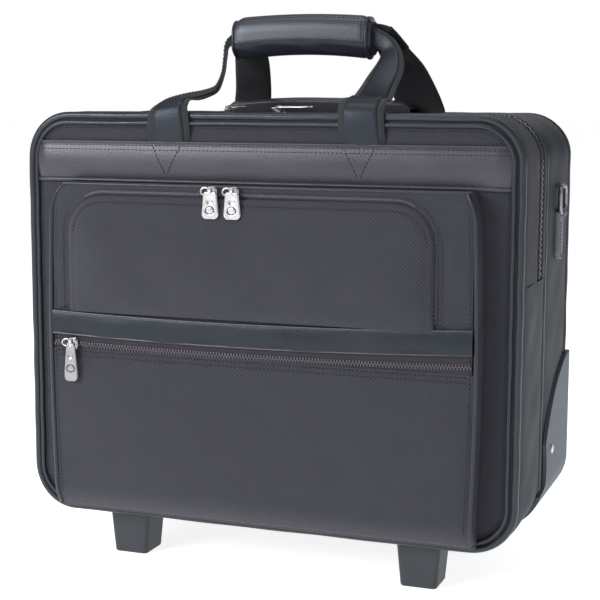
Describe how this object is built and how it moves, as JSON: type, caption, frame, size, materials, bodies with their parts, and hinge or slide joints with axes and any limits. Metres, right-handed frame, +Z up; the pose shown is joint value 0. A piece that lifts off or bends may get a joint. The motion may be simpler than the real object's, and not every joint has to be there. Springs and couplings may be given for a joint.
{
  "type": "pilot rolling flight case",
  "caption": "Soft-sided wheeled pilot flight case with zipped front, organiser pocket, wrapped grab handle, telescopic trolley handle, rear wheels and front feet",
  "frame": {"origin": "on the floor, in the middle of the whole case's width and depth", "axes": "+Z up, front of the case towards -Y, +X to the right when facing the front"},
  "size_m": [0.446, 0.2409, 0.468],
  "materials": {
    "nylon": "woven ballistic nylon",
    "vinyl": "smooth bonded leather",
    "lining": "woven lining",
    "webbing": "woven webbing",
    "zip_tape": "knitted zip tape and coil",
    "zip_metal": "satin plated casting",
    "moulding": "fine grained moulding",
    "guard": "satin moulding",
    "board": "plain sheet",
    "tube_metal": "anodised tube",
    "steel": "plated steel",
    "tyre": "soft rubber"
  },
  "bodies": {
    "case": {"rear_gusset": "vinyl", "back_panel": "nylon", "middle_piping": "vinyl", "rear_piping": "vinyl", "upper_gusset": "nylon", "base_gusset": "vinyl", "side_gusset_left": "vinyl", "side_gusset_right": "vinyl", "zip_tape_rear": "zip_tape", "frame_board": "board", "lining_panel": "lining", "saddle_pad": "nylon", "outer_tubes": "tube_metal", "tube_bracket": "moulding", "trolley_bezel": "moulding", "wheel_housing_left": "moulding", "wheel_housing_right": "moulding", "axles": "steel", "foot_left": "moulding", "foot_right": "moulding", "corner_guard_left": "guard", "corner_guard_right": "guard", "guard_rivets": "steel", "ring_tab_left": "vinyl", "ring_tab_right": "vinyl", "handle_strap_rear": "webbing"},
    "front_door": {"front_panel": "nylon", "front_piping": "vinyl", "inner_bead": "vinyl", "door_rim": "nylon", "zip_tape_front": "zip_tape", "top_band": "vinyl", "front_pocket": "nylon", "pocket_piping": "vinyl", "lower_zip_tape": "zip_tape", "middle_strip": "vinyl", "flap_zip_tape": "zip_tape", "handle_strap_front": "vinyl"},
    "organiser": {"organiser_flap": "nylon"},
    "grab_handle": {"grip_wrap": "vinyl"},
    "middle_stage": {"middle_tubes": "tube_metal"},
    "inner_stage": {"inner_tubes": "tube_metal", "trolley_grip": "moulding"},
    "button": {"release_button": "moulding"},
    "wheel_left": {"hub_left": "moulding", "tyre_left": "tyre"},
    "ring_left": {"strap_ring_left": "zip_metal"},
    "wheel_right": {"hub_right": "moulding", "tyre_right": "tyre"},
    "ring_right": {"strap_ring_right": "zip_metal"},
    "organiser_left_slider": {"slider_organiser_left": "zip_metal"},
    "organiser_left_pull": {"pull_organiser_left": "zip_metal"},
    "organiser_right_slider": {"slider_organiser_right": "zip_metal"},
    "organiser_right_pull": {"pull_organiser_right": "zip_metal"},
    "lower_slider": {"slider_lower": "zip_metal"},
    "lower_pull": {"pull_lower": "zip_metal"},
    "main_left_slider": {"slider_main_left": "zip_metal"},
    "main_left_pull": {"pull_main_left": "zip_metal"},
    "main_right_slider": {"slider_main_right": "zip_metal"},
    "main_right_pull": {"pull_main_right": "zip_metal"}
  },
  "joints": [
    {"name": "wheel_left_spin", "type": "hinge", "parent": "case", "child": "wheel_left", "pos_m": [-0.131, 0.093, 0.0275], "axis": [1, 0, 0], "continuous": true},
    {"name": "wheel_right_spin", "type": "hinge", "parent": "case", "child": "wheel_right", "pos_m": [0.131, 0.093, 0.0275], "axis": [1, 0, 0], "continuous": true},
    {"name": "trolley_stage_1", "type": "slide", "parent": "case", "child": "middle_stage", "axis": [0, 0, 1], "range_m": [0, 0.28]},
    {"name": "trolley_stage_2", "type": "slide", "parent": "middle_stage", "child": "inner_stage", "axis": [0, 0, 1], "range_m": [0, 0.28]},
    {"name": "release_button_press", "type": "slide", "parent": "inner_stage", "child": "button", "axis": [0, 0, -1], "range_m": [0, 0.0035], "stiffness_N_per_m": 900, "springref_m": -0.001},
    {"name": "front_door_open", "type": "hinge", "parent": "case", "child": "front_door", "pos_m": [0, -0.085, 0.043], "axis": [1, 0, 0], "range_deg": [0, 28]},
    {"name": "organiser_flap_open", "type": "hinge", "parent": "front_door", "child": "organiser", "pos_m": [0, -0.1134, 0.224], "axis": [1, 0, 0], "range_deg": [0, 80]},
    {"name": "grab_handle_drop", "type": "slide", "parent": "case", "child": "grab_handle", "axis": [0, 0, -1], "range_m": [0, 0.03], "deforming": ["handle_strap_front", "handle_strap_rear"]},
    {"name": "organiser_left_zip", "type": "slide", "parent": "organiser", "child": "organiser_left_slider", "axis": [1, 0, 0], "range_m": [-0.09, 0]},
    {"name": "organiser_left_pull_lift", "type": "hinge", "parent": "organiser_left_slider", "child": "organiser_left_pull", "pos_m": [-0.0335, -0.1148, 0.3216], "axis": [-1, 0, 0], "range_deg": [0, 150]},
    {"name": "organiser_right_zip", "type": "slide", "parent": "organiser", "child": "organiser_right_slider", "axis": [1, 0, 0], "range_m": [0, 0.12]},
    {"name": "organiser_right_pull_lift", "type": "hinge", "parent": "organiser_right_slider", "child": "organiser_right_pull", "pos_m": [-0.0145, -0.1148, 0.3216], "axis": [-1, 0, 0], "range_deg": [0, 150]},
    {"name": "lower_zip", "type": "slide", "parent": "front_door", "child": "lower_slider", "axis": [1, 0, 0], "range_m": [0, 0.32]},
    {"name": "lower_pull_lift", "type": "hinge", "parent": "lower_slider", "child": "lower_pull", "pos_m": [-0.163, -0.1136, 0.191], "axis": [-1, 0, 0], "range_deg": [0, 150]},
    {"name": "main_left_zip", "type": "slide", "parent": "case", "child": "main_left_slider", "axis": [1, 0, 0], "range_m": [-0.112, 0]},
    {"name": "main_left_pull_lift", "type": "hinge", "parent": "main_left_slider", "child": "main_left_pull", "pos_m": [-0.058, -0.018, 0.3896], "axis": [1, 0, 0], "range_deg": [0, 12]},
    {"name": "main_right_zip", "type": "slide", "parent": "case", "child": "main_right_slider", "axis": [1, 0, 0], "range_m": [0, 0.18]},
    {"name": "main_right_pull_lift", "type": "hinge", "parent": "main_right_slider", "child": "main_right_pull", "pos_m": [-0.012, -0.018, 0.3896], "axis": [0, -1, 0], "range_deg": [0, 150]},
    {"name": "ring_left_tip", "type": "hinge", "parent": "case", "child": "ring_left", "pos_m": [-0.219, 0.053, 0.302], "axis": [0, -1, 0], "range_deg": [0, 150]},
    {"name": "ring_right_tip", "type": "hinge", "parent": "case", "child": "ring_right", "pos_m": [0.219, 0.053, 0.302], "axis": [0, 1, 0], "range_deg": [0, 150]}
  ]
}
